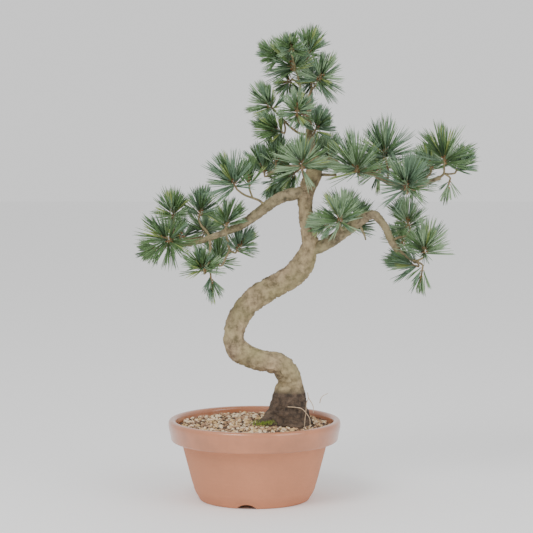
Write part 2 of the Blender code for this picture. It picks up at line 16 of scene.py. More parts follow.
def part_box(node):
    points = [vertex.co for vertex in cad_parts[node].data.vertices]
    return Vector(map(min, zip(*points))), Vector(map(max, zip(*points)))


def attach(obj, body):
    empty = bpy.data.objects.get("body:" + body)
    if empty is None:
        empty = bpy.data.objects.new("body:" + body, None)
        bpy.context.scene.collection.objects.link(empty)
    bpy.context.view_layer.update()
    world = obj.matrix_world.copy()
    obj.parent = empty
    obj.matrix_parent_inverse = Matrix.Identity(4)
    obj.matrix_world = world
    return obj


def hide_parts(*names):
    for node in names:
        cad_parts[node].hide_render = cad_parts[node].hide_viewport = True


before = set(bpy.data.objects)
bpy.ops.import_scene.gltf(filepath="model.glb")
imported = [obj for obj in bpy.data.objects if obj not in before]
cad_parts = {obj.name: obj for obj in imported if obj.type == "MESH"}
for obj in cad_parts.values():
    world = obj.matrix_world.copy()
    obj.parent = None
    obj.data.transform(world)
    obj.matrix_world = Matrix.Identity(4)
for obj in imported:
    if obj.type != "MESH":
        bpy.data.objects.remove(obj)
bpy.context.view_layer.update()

bl_info = {
    "name": "Potted white pine bonsai",
    "version": (1, 0, 0),
    "blender": (4, 5, 0),
    "location": "View3D > Sidebar > Bonsai",
    "description": "Models a white pine bonsai in a terracotta pot, needle by needle",
    "category": "Add Mesh",
}

MM = 0.001
POT_LOW, POT_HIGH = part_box("pot")
POT_AXIS = Vector(((POT_LOW.x + POT_HIGH.x) / 2, (POT_LOW.y + POT_HIGH.y) / 2, 0.0))
MASSES = [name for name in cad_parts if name.startswith("foliage")]

# The pot is turned, with a thick glazed band under a round lip.
POT_HEIGHT = 98.0
BAND_BOTTOM = 72.5
BAND_RADIUS = 102.0
LIP_RADIUS = 105.0
MOUTH_RADIUS = 95.5
BODY_TOP_RADIUS = 89.5
BODY_FOOT_RADIUS = 74.0
FOOT_RADIUS = 67.0
FOOT_CHAMFER = 13.0
FOOT_RING_WIDTH = 12.0
FOOT_RECESS = 5.0
FLOOR_TOP = 11.0
WALL = 7.0
DRAIN_RADIUS = 12.0
NOTCHES = 3
NOTCH_WIDTH = 25.0
NOTCH_HEIGHT = 5.7
NOTCH_TURN = math.radians(-97.8)  # the notch that the viewer sees, left of the front
NOTCH_SEGMENTS = 64
SHARP_ANGLE = math.radians(40)

# The soil fills the pot to just under the lip, and granules lie on it.
SOIL_TOP = 92.0
SOIL_RADIUS = 94.0
SOIL_RINGS = 30
SOIL_SEGMENTS = 96
SOIL_LUMP = 1.6
LUMP_SIZE = 22.0
LEVEL_ROUND_TRUNK = 30.0  # the soil is level this near the trunk, and fully uneven at twice as far
GRANULE_SHAPES = 8
GRANULE_LUMP = 0.28
GRANULE_SIZES = (1.5, 1.9, 2.3, 2.8, 3.4)
TRUNK_CLEARING = 20.0  # no granule lies nearer the trunk's middle than this
GAP = 0.3

# Limbs: one station is x, y, z and the diameter there
TRUNK = (
    (43, -6, SOIL_TOP + GAP, 42),
    (42, -6, 119, 39),
    (43, -7, 134, 34),
    (44, -8, 143, 26.5),
    (39, -11, 157, 27),
    (29, -13, 167, 26),
    (9, -14, 171, 24),
    (-9, -12, 177, 25),
    (-21, -9, 186, 25),
    (-25, -5, 198, 23.5),
    (-20, 0, 219, 25),
    (-3, 5, 243, 26.5),
    (28, 8, 262, 26.5),
    (45, 8, 272, 27.5),
    (58, 7, 286, 28),
    (65, 4, 303, 21),
    (67, 0, 318, 18),
    (62, -4, 347, 16),
    (62, -3, 375, 17),
    (73, 5, 401, 18.5),
    (70, 10, 422, 10),
    (66, 12, 455, 6.2),
    (66, 10, 491, 4.2),
)
BOUGHS = {
    "left_bough": (
        (59, -3, 375, 15),
        (31, -6, 368, 13.5),
        (7, -11, 352, 12),
        (-8, -14, 341, 10.4),
        (-18, -16, 335, 9.6),
        (-44, -16, 324, 7.2),
        (-72, -9, 314, 5.8),
        (-93, -5, 311, 4.6),
    ),
    "upper_left_bough": ((70, 7, 406, 5.6), (43, 18, 404, 5.2), (28, 27, 400, 4.8), (17, 34, 394, 4.4)),
    "right_upper_bough": (
        (74, 5, 408, 16),
        (91, 2, 410, 14),
        (104, -2, 404, 10.6),
        (133, -9, 401, 7.4),
        (145, -8, 396, 7.2),
        (160, -5, 388, 6.6),
        (184, 4, 379, 6.2),
        (200, 7, 382, 5.8),
        (225, 10, 392, 4.8),
    ),
    "right_lower_bough": (
        (66, 4, 304, 16),
        (85, 0, 311, 15),
        (107, -8, 326, 13.2),
        (127, -17, 341, 12),
        (137, -20, 348, 11.2),
    ),
    "right_lower_bough_tip": (
        (135, -19.8, 347.4, 11.0),
        (145, -21, 348, 10),
        (157, -16, 334, 9),
        (165, -10, 316, 7.6),
        (177, -4, 301, 7.4),
        (186, 0, 294, 6.2),
    ),
    "right_spur": ((75, 3, 396, 3.8), (90, -1, 395.5, 3.6), (99, -3, 395.5, 3.2)),
    "dead_twig": ((124, -17, 340, 3), (131, -18, 327, 2.6), (134, -18, 318, 1.6)),
}
LIMB_STEP = 11.0  # the distance between the places that a shoot can leave a limb from
RING_STEP = 1.6  # the distance between rings along the finished limbs
TWIG_RING_STEP = 2.5
ROOT_RING_STEP = 2.0
TRUNK_SIDES = 60
BOUGH_SIDES = 28
SLIM_SIDES = 12
TWIG_SIDES = 7
ROOT_SIDES = 6
THICK_RADIUS = 2.5  # a limb that starts thicker than this is a bough, and otherwise a twig

# The root flare: each surface root's turn round the trunk, its spread and its half width.
FLARE_HEIGHT = 13.0
FLARE_ROOTS = ((185, 24, 26), (300, 9, 34), (20, 8, 36), (105, 12, 32))

# Bark: the size of its plates, how deep its relief is, and how rough its grain.
TRUNK_BARK = {"size": 9.0, "depth": 1.7, "grain": 0.45}
BOUGH_BARK = {"size": 6.0, "depth": 0.8, "grain": 0.3}
SLIM_BARK = {"size": 6.0, "depth": 0.25, "grain": 0.12}
LINE_WIDTH = 0.28
GRAIN_SIZE = 3.0
SWELL_SIZE = 26.0
DAMP_HEIGHTS = (0.131, 0.139)  # the damp root base ends between these heights, in metres

# Shoots: each bears its needles in sheaths of five.
CORE_LENGTH = 12.0
NEEDLE_LENGTH_SPREAD = 0.12
TIP_LEAN = math.radians(6)  # how far the foremost needles lean from the shoot
LEAN_JITTER = 9  # degrees
ARRIVAL_PULL = 0.9  # how far a twig's end gives way to its own run before it turns to its heading
NECK_LENGTH = 3.5
TWIG_STEP = 13.0
STEM_RADIUS = 2.1
SHOOT_RADIUS = 1.5
SLIMMER = 0.8  # how thick a finished twig is against its plain one
GOLDEN_TURN = 2.39996  # the turn from one sheath to the next, in radians
NEEDLES_A_SHEATH = 5
SHEATH_SPREAD = 0.085
SHEATH_RADIUS = 0.75
SHEATH_LENGTH = 2.6
BUD_RADIUS = 1.5
BUD_LENGTH = 5.0
NEEDLE_RINGS = (0.0, 0.45, 0.85)  # where a needle's rings are, as shares of its length
NEEDLE_SWELL = (0.75, 1.0, 0.7)  # how wide it is there

# The stage, in metres from the ground under the pot's middle
FLOOR_SIZE = 6.0
LIT_POINT = Vector((0.0, 0.0, 0.28))
LAMPS = (
    ("key", Vector((-0.9, -1.4, 1.5)), 26.0, 1.0),
    ("fill", Vector((1.3, -1.2, 0.8)), 12.0, 1.2),
)
CAMERA_PLACE = Vector((0.0146, -2.5, 0.5145))
CAMERA_DROP = 0.23  # how far the line of sight falls on its way to the pot's axis
CAMERA_LENS = 140.0
CAMERA_SENSOR = 36.0

# A mass of foliage: the limb it grows from, where its stem leaves that limb, and its shoots. A shoot
# is the place where its needles begin, the way it points, how far its needles reach past that place,
# how far its rear needles lean back in degrees, and the share of its needles that it has.
FOLIAGE = {
    "foliage_apex_right": (
        "trunk",
        (66, 10, 493),
        (
            ((76, -2, 507), (0.45, -0.3, 0.85), 38, 115, 1.0),
            ((70, 32, 506), (0.1, 0.85, 0.5), 36, 90, 1.0),
        ),
    ),
    "foliage_apex_left": (
        "trunk",
        (66, 10, 484),
        (
            ((49, 0, 522), (-0.55, -0.15, 0.8), 44, 90, 1.0),
            ((65, 10, 539), (0.15, 0.2, 1.0), 34, 80, 1.0),
            ((30, 2, 534), (-0.8, 0.1, 0.6), 28, 85, 1.0),
            ((44, -26, 543), (-0.1, -0.7, 0.7), 26, 95, 1.0),
            ((44, 30, 509), (-0.35, 0.6, -0.3), 28, 80, 0.7),
            ((54, 38, 526), (0.0, 0.9, 0.45), 36, 85, 1.0),
        ),
    ),
    "foliage_middle_front": (
        "trunk",
        (66, 12, 450),
        (((51, -26, 468), (0.0, -0.5, 0.85), 32, 95, 1.0),),
    ),
    "foliage_middle_left": (
        "trunk",
        (67, 12, 442),
        (
            ((22, 8, 475), (-0.65, -0.1, 0.75), 35, 85, 1.0),
            ((33, -4, 447), (-0.85, -0.1, 0.4), 36, 75, 1.0),
        ),
    ),
    "foliage_middle_right": (
        "trunk",
        (67, 12, 440),
        (((73, -10, 449), (0.4, -0.2, 0.9), 29, 80, 1.0),),
    ),
    "foliage_middle_back": (
        "trunk",
        (66, 12, 460),
        (((60, 44, 464), (-0.1, 0.85, 0.5), 32, 85, 1.0),),
    ),
    "foliage_centre_front": (
        "trunk",
        (67, 0, 388),
        (((57, -44, 405), (-0.05, -0.45, 0.88), 44, 95, 1.0),),
    ),
    "foliage_centre_back": (
        "trunk",
        (71, 9, 417),
        (
            ((72, 42, 414), (0.1, 0.55, 0.8), 34, 80, 1.0),
            ((50, 32, 397), (-0.7, 0.3, -0.5), 34, 75, 0.8),
        ),
    ),
    "foliage_centre_left": (
        "upper_left_bough",
        (30, 26, 401),
        (
            ((26, 21, 409), (0.1, -0.1, 1.0), 36, 62, 0.9),
            ((36, 66, 404), (-0.1, 0.85, 0.45), 38, 80, 1.0),
        ),
    ),
    "foliage_upper_left": (
        "upper_left_bough",
        (17, 34, 394),
        (
            ((12, 37, 395), (-0.15, 0.1, 0.97), 37, 68, 0.9),
            ((24, 44, 386), (0.0, 0.35, -0.85), 26, 70, 0.8),
        ),
    ),
    "foliage_left_top": (
        "left_bough",
        (16, -9, 361),
        (
            ((-22, -42, 383), (-0.45, -0.3, 0.82), 44, 95, 1.0),
            ((-6, -22, 384), (0.0, 0.1, 1.0), 34, 40, 0.5),
        ),
    ),
    "foliage_left_middle": (
        "left_bough",
        (-34, -17, 328),
        (((-34, -28, 335), (0.2, -0.3, 0.9), 33, 80, 0.9),),
    ),
    "foliage_left_rise": (
        "left_bough",
        (-50, -15, 322),
        (((-67, 10, 345), (0.2, 0.2, 0.95), 34, 85, 1.0),),
    ),
    "foliage_left_end": (
        "left_bough",
        (-93, -5, 311),
        (
            ((-101, -8, 315), (-0.6, -0.5, 0.5), 45, 112, 1.0),
            ((-98, 8, 343), (-0.1, 0.1, 1.0), 35, 95, 1.0),
            ((-116, 6, 306), (-0.9, 0.3, -0.2), 26, 70, 0.6),
        ),
    ),
    "foliage_left_low_front": (
        "left_bough",
        (-52, -15, 321),
        (
            ((-60, -38, 282), (-0.15, -0.5, 0.8), 35, 95, 1.0),
            ((-52, -32, 276), (0.1, -0.1, -1.0), 28, 50, 0.25),
        ),
    ),
    "foliage_left_low_back": (
        "left_bough",
        (-30, -17, 329),
        (
            ((-21, -2, 304), (0.5, 0.0, 0.8), 32, 80, 1.0),
            ((-44, 28, 286), (-0.1, 0.4, 0.7), 34, 95, 1.0),
        ),
    ),
    "foliage_left_back": (
        "left_bough",
        (-68, -10, 315),
        (
            ((-62, 60, 322), (0.1, 0.9, 0.4), 38, 90, 1.0),
            ((-88, 46, 316), (-0.45, 0.75, 0.4), 38, 85, 1.0),
        ),
    ),
    "foliage_right_start": (
        "right_upper_bough",
        (91, 2, 410),
        (((91, 20, 416), (0.05, 0.3, 1.0), 30, 50, 0.8),),
    ),
    "foliage_right_front": (
        "right_upper_bough",
        (131, -9, 401),
        (((123, -36, 400), (-0.35, -0.3, 0.88), 50, 88, 1.0),),
    ),
    "foliage_right_high": (
        "right_upper_bough",
        (157, -6, 390),
        (((158, -12, 415), (-0.12, -0.1, 1.0), 48, 88, 1.0),),
    ),
    "foliage_right_middle": (
        "right_upper_bough",
        (186, 4, 379),
        (((181, -36, 380), (0.0, -0.45, 0.9), 48, 104, 1.0),),
    ),
    "foliage_right_middle_back": (
        "right_upper_bough",
        (196, 7, 381),
        (
            ((198, 66, 384), (0.15, 0.9, 0.4), 40, 85, 1.0),
            ((216, 42, 400), (-0.1, 0.35, 0.9), 36, 80, 1.0),
        ),
    ),
    "foliage_right_back": (
        "right_upper_bough",
        (139, -9, 399),
        (((154, 56, 398), (-0.1, 0.85, 0.5), 40, 88, 1.0),),
    ),
    "foliage_right_end": (
        "right_upper_bough",
        (225, 10, 392),
        (
            ((228, -8, 409), (-0.05, -0.15, 1.0), 49, 92, 1.0),
            ((245, 14, 400), (0.45, 0.1, 0.8), 31, 90, 1.0),
            ((236, 4, 388), (-0.25, -0.1, -1.0), 26, 40, 0.2),
        ),
    ),
    "foliage_low_front": (
        "right_lower_bough",
        (113, -11, 331),
        (
            ((101, -60, 341), (0.0, -0.45, 0.88), 43, 95, 1.0),
            ((91, -22, 335), (-0.85, 0.0, 0.2), 27, 80, 1.0),
        ),
    ),
    "foliage_low_right": (
        "right_lower_bough",
        (115, -12, 332),
        (((117, 4, 332), (0.5, 0.15, 0.8), 36, 75, 1.0),),
    ),
    "foliage_low_back": (
        "right_lower_bough",
        (104, -7, 324),
        (((110, 44, 345), (0.0, 0.85, 0.45), 38, 78, 1.0),),
    ),
    "foliage_end_high": (
        "right_lower_bough_tip",
        (163, -11, 320),
        (((188, 12, 331), (-0.25, 0.0, 0.95), 37, 85, 1.0),),
    ),
    "foliage_end_back": (
        "right_lower_bough_tip",
        (170, -7, 309),
        (((182, 46, 308), (0.1, 0.85, 0.45), 36, 85, 1.0),),
    ),
    "foliage_end": (
        "right_lower_bough_tip",
        (186, 0, 294),
        (
            ((204, -14, 300), (0.1, -0.3, 0.95), 43, 95, 1.0),
            ((196, 2, 285), (-0.95, -0.1, 0.25), 38, 55, 0.8),
            ((203, -8, 283), (-0.15, 0.0, -1.0), 30, 40, 0.25),
        ),
    ),
}


BLACK = (0.0, 0.0, 0.0)
WHITE = (1.0, 1.0, 1.0)

# The sockets of a colour mix
MIX_FACTOR = 0
MIX_FIRST = 6
MIX_SECOND = 7
MIX_RESULT = 2


class ClaySettings(bpy.types.PropertyGroup):
    """The pot's two finishes."""

    clay: bpy.props.FloatVectorProperty(
        name="Clay",
        description="Colour of the bare fired clay",
        subtype="COLOR",
        size=3,
        default=(0.56, 0.235, 0.125),
    )
    glaze: bpy.props.FloatVectorProperty(
        name="Glaze",
        description="Colour of the glazed band",
        subtype="COLOR",
        size=3,
        default=(0.44, 0.165, 0.075),
    )
    segments: bpy.props.IntProperty(
        name="Segments", description="Facets round the pot", default=144, min=24, max=256
    )


class NeedleSettings(bpy.types.PropertyGroup):
    """The needles and the soil's granules."""

    sheaths: bpy.props.IntProperty(
        name="Sheaths", description="Bundles of needles on a full shoot", default=58, min=5, max=120
    )
    width: bpy.props.FloatProperty(
        name="Needle width", description="Width of one needle", default=0.0011, unit="LENGTH"
    )
    granules: bpy.props.IntProperty(
        name="Granules", description="Granules on the soil", default=2600, min=100, max=6000
    )


def new_material(name):
    """A new material's nodes and links, and its shader."""
    made = bpy.data.materials.new(name)
    made.use_nodes = True
    nodes, links = made.node_tree.nodes, made.node_tree.links
    return made, nodes, links, nodes["Principled BSDF"]


def mottle_group():
    """A shared effect: soft patches of two colours, with a height that follows them."""
    if "mottle" in bpy.data.node_groups:
        return bpy.data.node_groups["mottle"]
    group = bpy.data.node_groups.new("mottle", "ShaderNodeTree")
    face = group.interface
    face.new_socket("Scale", in_out="INPUT", socket_type="NodeSocketFloat")
    face.new_socket("Contrast", in_out="INPUT", socket_type="NodeSocketFloat")
    face.new_socket("First", in_out="INPUT", socket_type="NodeSocketColor")
    face.new_socket("Second", in_out="INPUT", socket_type="NodeSocketColor")
    face.new_socket("Color", in_out="OUTPUT", socket_type="NodeSocketColor")
    face.new_socket("Height", in_out="OUTPUT", socket_type="NodeSocketFloat")
    nodes, links = group.nodes, group.links
    inlet, outlet = nodes.new("NodeGroupInput"), nodes.new("NodeGroupOutput")
    place = nodes.new("ShaderNodeTexCoord")
    cloud = nodes.new("ShaderNodeTexNoise")
    cloud.inputs["Detail"].default_value = 6.0
    cloud.inputs["Roughness"].default_value = 0.62
    less, times, more = (nodes.new("ShaderNodeMath") for _ in range(3))
    less.operation, times.operation, more.operation = "SUBTRACT", "MULTIPLY", "ADD"
    less.inputs[1].default_value = more.inputs[1].default_value = 0.5
    more.use_clamp = True
    mix = nodes.new("ShaderNodeMix")
    mix.data_type = "RGBA"
    links.new(place.outputs["Object"], cloud.inputs["Vector"])
    links.new(inlet.outputs["Scale"], cloud.inputs["Scale"])
    links.new(cloud.outputs["Fac"], less.inputs[0])
    links.new(less.outputs[0], times.inputs[0])
    links.new(inlet.outputs["Contrast"], times.inputs[1])
    links.new(times.outputs[0], more.inputs[0])
    links.new(more.outputs[0], mix.inputs[MIX_FACTOR])
    links.new(inlet.outputs["First"], mix.inputs[MIX_FIRST])
    links.new(inlet.outputs["Second"], mix.inputs[MIX_SECOND])
    links.new(mix.outputs[MIX_RESULT], outlet.inputs["Color"])
    links.new(more.outputs[0], outlet.inputs["Height"])
    return group


def mottle(nodes, scale, contrast, first, second):
    """One use of the shared effect, with its own values."""
    made = nodes.new("ShaderNodeGroup")
    made.node_tree = mottle_group()
    made.inputs["Scale"].default_value = scale
    made.inputs["Contrast"].default_value = contrast
    made.inputs["First"].default_value = (*first, 1.0)
    made.inputs["Second"].default_value = (*second, 1.0)
    return made


def relief(nodes, links, height, shader, strength, distance):
    """Feeds a height to a shader's normal through a bump."""
    bump = nodes.new("ShaderNodeBump")
    bump.inputs["Strength"].default_value = strength
    bump.inputs["Distance"].default_value = distance
    links.new(height, bump.inputs["Height"])
    links.new(bump.outputs["Normal"], shader.inputs["Normal"])


def patchy(name, scale, contrast, first, second, rough, strength, distance):
    """A matt material of soft patches with a little relief."""
    made, nodes, links, shader = new_material(name)
    patch = mottle(nodes, scale, contrast, first, second)
    links.new(patch.outputs["Color"], shader.inputs["Base Color"])
    shader.inputs["Roughness"].default_value = rough
    relief(nodes, links, patch.outputs["Height"], shader, strength, distance)
    return made


def shade(colour, factor):
    """A colour made lighter or darker."""
    return tuple(min(1.0, part * factor) for part in colour)


def put_in_place(name, bm):
    """A mesh of shapes in table millimetres, brought to metres and to where the pot stands."""
    bmesh.ops.scale(bm, vec=(MM, MM, MM), verts=bm.verts[:])
    bmesh.ops.translate(bm, vec=POT_AXIS, verts=bm.verts[:])
    mesh = bpy.data.meshes.new(name)
    bm.to_mesh(mesh)
    bm.free()
    return mesh


def add_piece(name, bm, *finishes):
    """Makes a piece with smooth shading and lets it ride on the plant."""
    mesh = put_in_place(name, bm)
    mesh.shade_smooth()
    return link_piece(name, mesh, *finishes)


def link_piece(name, mesh, *finishes):
    """Links a finished mesh as a piece of the plant."""
    thing = bpy.data.objects.new(name, mesh)
    for finish in finishes:
        mesh.materials.append(finish)
    bpy.context.scene.collection.objects.link(thing)
    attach(thing, "root")
    return thing


def turned(bm, profile, segments):
    """Spins a closed profile of radius and height round the upright axis."""
    points = [bm.verts.new((radius, 0.0, height)) for radius, height in profile]
    edges = [bm.edges.new(pair) for pair in zip(points, points[1:])]
    if profile[0][0] > 0.0:
        edges.append(bm.edges.new((points[-1], points[0])))
    bmesh.ops.spin(
        bm,
        geom=points + edges,
        cent=(0.0, 0.0, 0.0),
        axis=(0.0, 0.0, 1.0),
        angle=math.tau,
        steps=segments,
        use_merge=True,
    )
    bmesh.ops.remove_doubles(bm, verts=bm.verts[:], dist=0.01)
    bmesh.ops.recalc_face_normals(bm, faces=bm.faces[:])


def rounded(start, corner, end, steps=6):
    """Points round a corner, from start to end."""
    run = []
    for k in range(steps + 1):
        t = k / steps
        parts = zip(start, corner, end)
        run.append(tuple(a * (1 - t) ** 2 + 2 * b * t * (1 - t) + c * t**2 for a, b, c in parts))
    return run


def wall_run(steps=12):
    """Points up the outside of the pot's tapered body."""
    rise = BAND_BOTTOM - FOOT_CHAMFER
    spread = BODY_TOP_RADIUS - BODY_FOOT_RADIUS
    return [
        (BODY_FOOT_RADIUS + spread * k / steps, FOOT_CHAMFER + rise * k / steps) for k in range(2, steps)
    ]


def inner_wall(height):
    """The radius of the pot's inner wall at a height."""
    slope = (BODY_TOP_RADIUS - BODY_FOOT_RADIUS) / (BAND_BOTTOM - FOOT_CHAMFER)
    return BODY_FOOT_RADIUS - WALL + slope * (height - FOOT_CHAMFER)


def pot_profile():
    """The outline of the pot's wall, from the foot ring up over the lip and down inside."""
    ledge = BAND_BOTTOM - 8.0
    return (
        (FOOT_RADIUS - FOOT_RING_WIDTH, 0.0),
        *rounded((FOOT_RADIUS - 2.0, 0.0), (FOOT_RADIUS, 0.0), (FOOT_RADIUS + 0.6, 2.0)),
        *rounded(
            (BODY_FOOT_RADIUS - 2.5, FOOT_CHAMFER - 4.6),
            (BODY_FOOT_RADIUS, FOOT_CHAMFER),
            (BODY_FOOT_RADIUS + 0.6, FOOT_CHAMFER + 4.0),
        ),
        *wall_run(),
        *rounded(
            (BODY_TOP_RADIUS - 0.1, BAND_BOTTOM - 3.0),
            (BODY_TOP_RADIUS + 0.4, BAND_BOTTOM - 0.6),
            (BODY_TOP_RADIUS + 4.0, BAND_BOTTOM - 0.3),
        ),
        *rounded(
            (BAND_RADIUS - 3.0, BAND_BOTTOM),
            (BAND_RADIUS - 0.2, BAND_BOTTOM),
            (BAND_RADIUS, BAND_BOTTOM + 2.6),
        ),
        (BAND_RADIUS + 0.9, BAND_BOTTOM + 8.0),
        *rounded(
            (LIP_RADIUS - 0.6, POT_HEIGHT - 11.0),
            (LIP_RADIUS, POT_HEIGHT - 8.0),
            (LIP_RADIUS, POT_HEIGHT - 5.5),
        ),
        *rounded(
            (LIP_RADIUS - 0.2, POT_HEIGHT - 3.5),
            (LIP_RADIUS - 0.8, POT_HEIGHT),
            (LIP_RADIUS - 4.5, POT_HEIGHT),
        ),
        *rounded(
            (MOUTH_RADIUS + 3.0, POT_HEIGHT - 0.2),
            (MOUTH_RADIUS + 0.2, POT_HEIGHT - 1.0),
            (MOUTH_RADIUS, POT_HEIGHT - 5.0),
        ),
        (MOUTH_RADIUS - 0.5, POT_HEIGHT - 10.0),
        (inner_wall(ledge), ledge),
        (inner_wall(FLOOR_TOP + 6.0), FLOOR_TOP + 6.0),
        (inner_wall(FLOOR_TOP) - 6.0, FLOOR_TOP),
        (DRAIN_RADIUS, FLOOR_TOP),
        (DRAIN_RADIUS, FOOT_RECESS),
        (FOOT_RADIUS - FOOT_RING_WIDTH - 1.0, FOOT_RECESS),
    )


def clay_finish():
    """Bare fired clay, with soft patches, a fine grain and faint throwing marks."""
    settings = bpy.context.scene.bonsai_clay
    made, nodes, links, shader = new_material("fired_clay")
    patch = mottle(nodes, 22.0, 1.4, shade(settings.clay, 0.88), shade(settings.clay, 1.14))
    grain = mottle(nodes, 1500.0, 2.0, (0.86, 0.86, 0.86), WHITE)
    both = nodes.new("ShaderNodeMix")
    both.data_type = "RGBA"
    both.blend_type = "MULTIPLY"
    both.inputs[MIX_FACTOR].default_value = 1.0
    links.new(patch.outputs["Color"], both.inputs[MIX_FIRST])
    links.new(grain.outputs["Color"], both.inputs[MIX_SECOND])
    links.new(both.outputs[MIX_RESULT], shader.inputs["Base Color"])
    place = nodes.new("ShaderNodeTexCoord")
    marks = nodes.new("ShaderNodeTexWave")
    joined = nodes.new("ShaderNodeMath")
    marks.bands_direction = "Z"
    marks.inputs["Scale"].default_value = 60.0
    marks.inputs["Distortion"].default_value = 3.0
    marks.inputs["Detail"].default_value = 2.0
    marks.inputs["Detail Scale"].default_value = 0.4
    joined.operation = "MULTIPLY_ADD"
    joined.inputs[1].default_value = 0.35
    links.new(place.outputs["Object"], marks.inputs["Vector"])
    links.new(marks.outputs["Fac"], joined.inputs[0])
    links.new(grain.outputs["Height"], joined.inputs[2])
    relief(nodes, links, joined.outputs[0], shader, 0.35, 0.0004)
    shader.inputs["Roughness"].default_value = 0.72
    return made


def glaze_finish():
    """A thin glossy glaze over the clay, in darker and lighter patches."""
    settings = bpy.context.scene.bonsai_clay
    made, nodes, links, shader = new_material("glazed_clay")
    patch = mottle(nodes, 16.0, 2.4, shade(settings.glaze, 0.72), shade(settings.glaze, 1.2))
    links.new(patch.outputs["Color"], shader.inputs["Base Color"])
    shader.inputs["Roughness"].default_value = 0.34
    shader.inputs["Coat Weight"].default_value = 0.85
    shader.inputs["Coat Roughness"].default_value = 0.16
    relief(nodes, links, patch.outputs["Height"], shader, 0.15, 0.0008)
    return made


class BONSAI_OT_pot(bpy.types.Operator):
    """Turns the pot, with its glazed band and notched foot ring"""

    bl_idname = "bonsai.pot"
    bl_label = "Pot"

    def execute(self, context):
        """Makes the pot in place of its plain solid."""
        bm = bmesh.new()
        turned(bm, pot_profile(), context.scene.bonsai_clay.segments)
        for face in bm.faces:
            glazed = face.calc_center_median().z > BAND_BOTTOM - 0.2
            face.material_index = 1 if glazed else 0
        pot = add_piece("pot_finished", bm, clay_finish(), glaze_finish())
        for number in range(NOTCHES):
            cut_notch(pot, number)
        pot.data.set_sharp_from_angle(angle=SHARP_ANGLE)
        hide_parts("pot")
        return {"FINISHED"}


def cut_notch(pot, number):
    """Cuts one arched drainage notch through the foot ring."""
    radius = ((NOTCH_WIDTH / 2) ** 2 + NOTCH_HEIGHT**2) / (2 * NOTCH_HEIGHT)
    turn = NOTCH_TURN + number * math.tau / NOTCHES
    out = Vector((math.cos(turn), math.sin(turn), 0.0))
    middle = out * (FOOT_RADIUS - FOOT_RING_WIDTH / 2 + 2.0)
    middle.z = NOTCH_HEIGHT - radius
    bm = bmesh.new()
    bmesh.ops.create_cone(
        bm,
        cap_ends=True,
        segments=NOTCH_SEGMENTS,
        radius1=radius,
        radius2=radius,
        depth=FOOT_RING_WIDTH + 18.0,
        matrix=Matrix.Translation(middle) @ out.to_track_quat("Z", "Y").to_matrix().to_4x4(),
    )
    tool = bpy.data.objects.new("notch", put_in_place("notch", bm))
    bpy.context.scene.collection.objects.link(tool)
    step = pot.modifiers.new("notch", "BOOLEAN")
    step.operation = "DIFFERENCE"
    step.solver = "EXACT"
    step.object = tool
    graph = bpy.context.evaluated_depsgraph_get()
    finished = bpy.data.meshes.new_from_object(pot.evaluated_get(graph))
    pot.modifiers.clear()
    pot.data = finished
    bpy.data.objects.remove(tool)


def lump(x, y):
    """How high the soil lies above its level at a place."""
    away = (Vector((x, y)) - Vector(TRUNK[0][:2])).length
    share = min(1.0, max(0.0, (away - LEVEL_ROUND_TRUNK) / LEVEL_ROUND_TRUNK))
    uneven = SOIL_LUMP * share * noise.noise(Vector((x, y, 0.0)) / LUMP_SIZE)
    return uneven - 0.4 - 2.0 * (math.hypot(x, y) / 100.0) ** 6


# The granules: a kind's colour, its share of them all and its size against the others'.
GRANULES = {
    "pumice_pale": ((0.78, 0.62, 0.42), 0.20, 1.0),
    "pumice_gold": ((0.62, 0.42, 0.20), 0.17, 1.0),
    "clay_bits": ((0.44, 0.27, 0.16), 0.20, 1.0),
    "bark_bits": ((0.19, 0.115, 0.07), 0.24, 0.85),
    "dark_bits": ((0.075, 0.05, 0.035), 0.19, 0.85),
}


